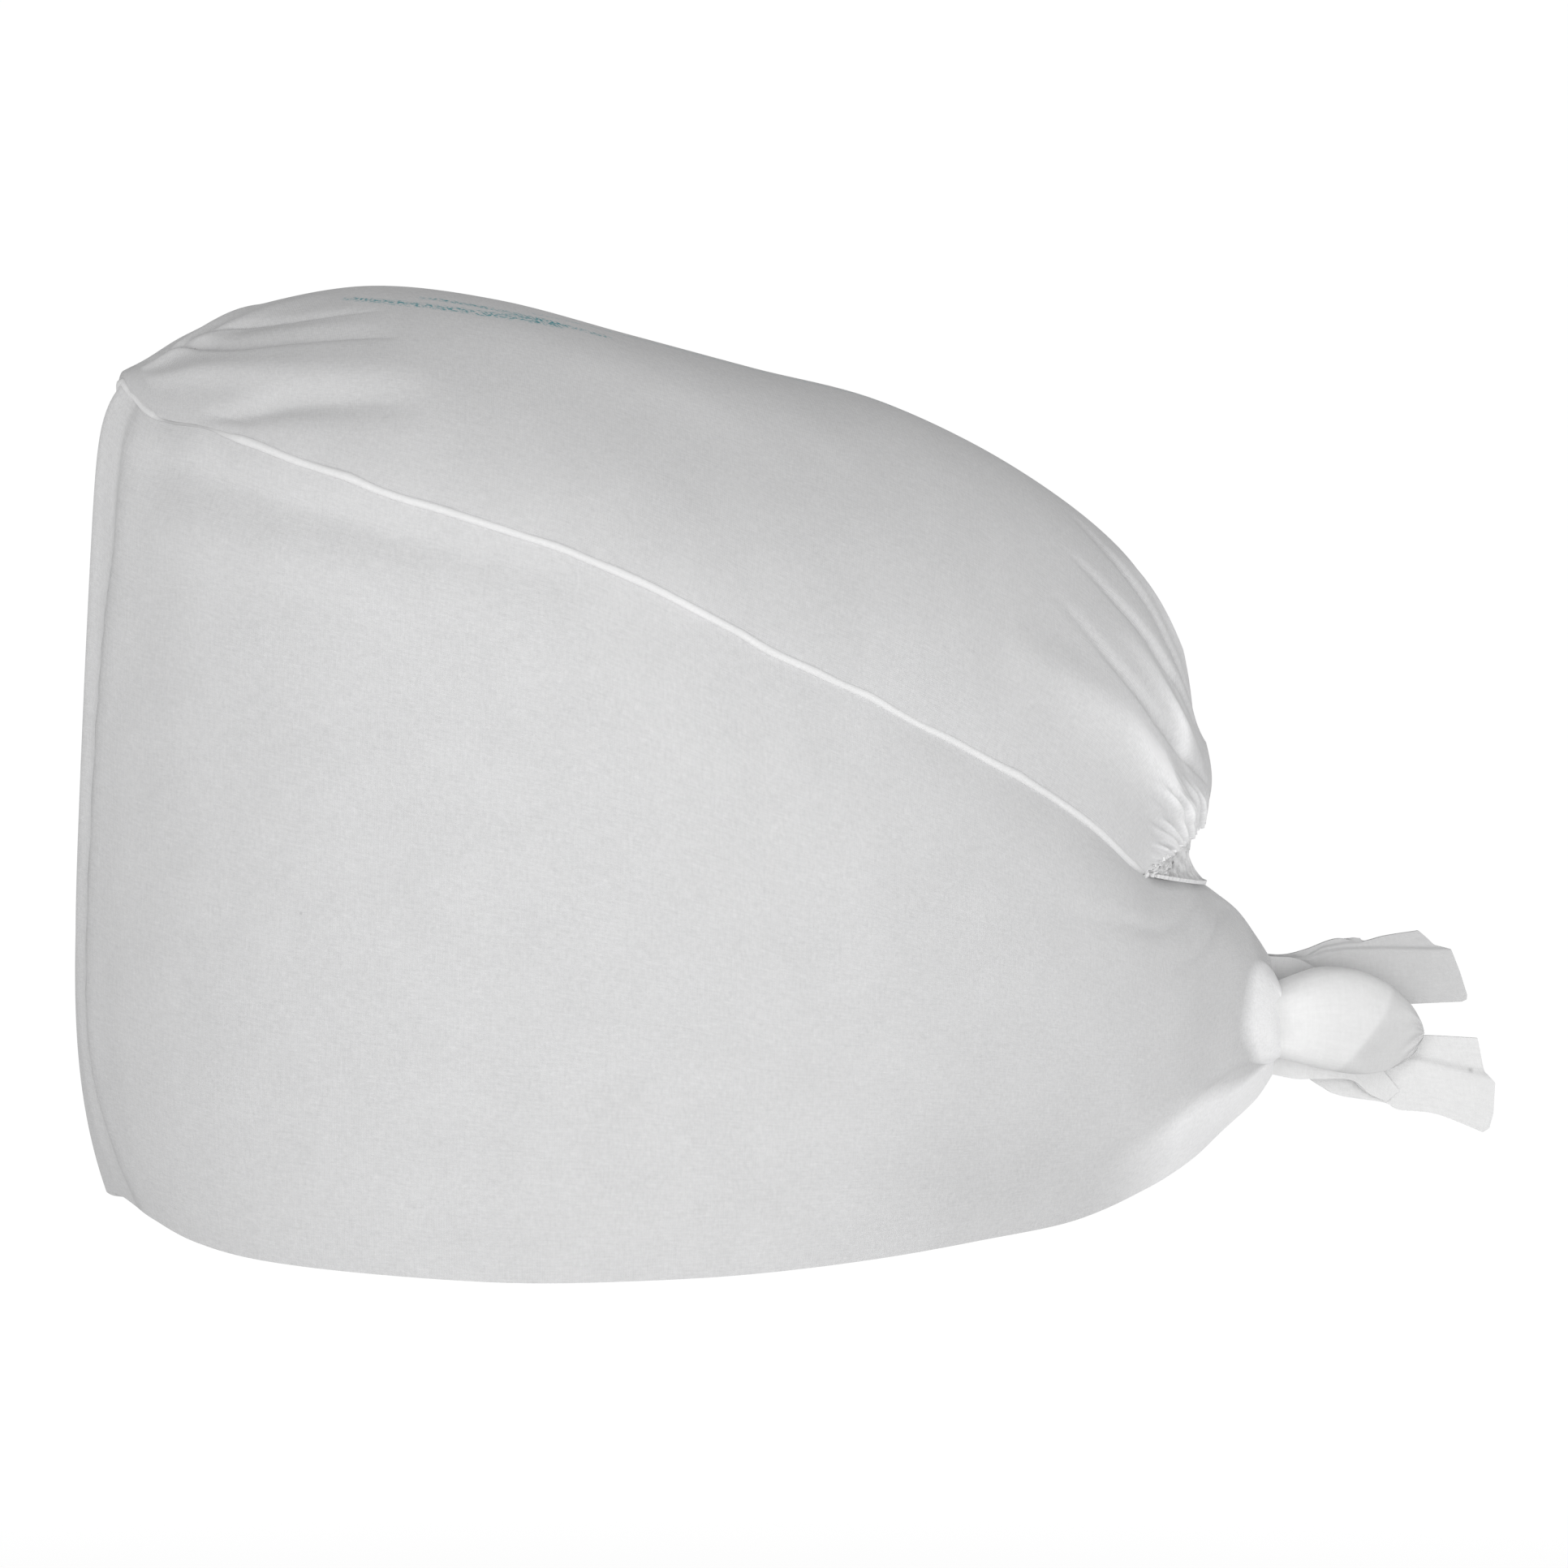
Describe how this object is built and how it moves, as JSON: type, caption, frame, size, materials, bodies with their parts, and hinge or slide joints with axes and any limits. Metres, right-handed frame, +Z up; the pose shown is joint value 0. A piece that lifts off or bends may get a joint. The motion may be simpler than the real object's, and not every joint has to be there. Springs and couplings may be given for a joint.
{
  "type": "scrub cap",
  "caption": "Tie-back cloth scrub cap in its worn form: deep side band, pleated crown, gathered elastic at the back and a knotted tie at the nape.",
  "frame": {"origin": "on the cap's mirror plane, midway between brow and nape, level with the lowest point of the rim that the head goes into", "axes": "+X from the brow to the knot at the nape, +Y towards the wearer's right ear, +Z up"},
  "size_m": [0.2699, 0.161, 0.1751],
  "materials": {
    "band_cotton": "matt plain weave cotton",
    "crown_cotton": "matt plain weave cotton",
    "seam_cotton": "turned and pressed cotton edge",
    "casing_cotton": "cotton ruffled over elastic",
    "tie_cotton": "doubled cotton tape"
  },
  "bodies": {
    "root": {"side_band": "band_cotton", "crown": "crown_cotton", "crown_seam": "seam_cotton", "elastic_gather": "casing_cotton", "knot_bight_near": "tie_cotton", "knot_bight_far": "tie_cotton", "tie_tail_upper": "tie_cotton", "tie_tail_lower": "tie_cotton"}
  },
  "joints": []
}
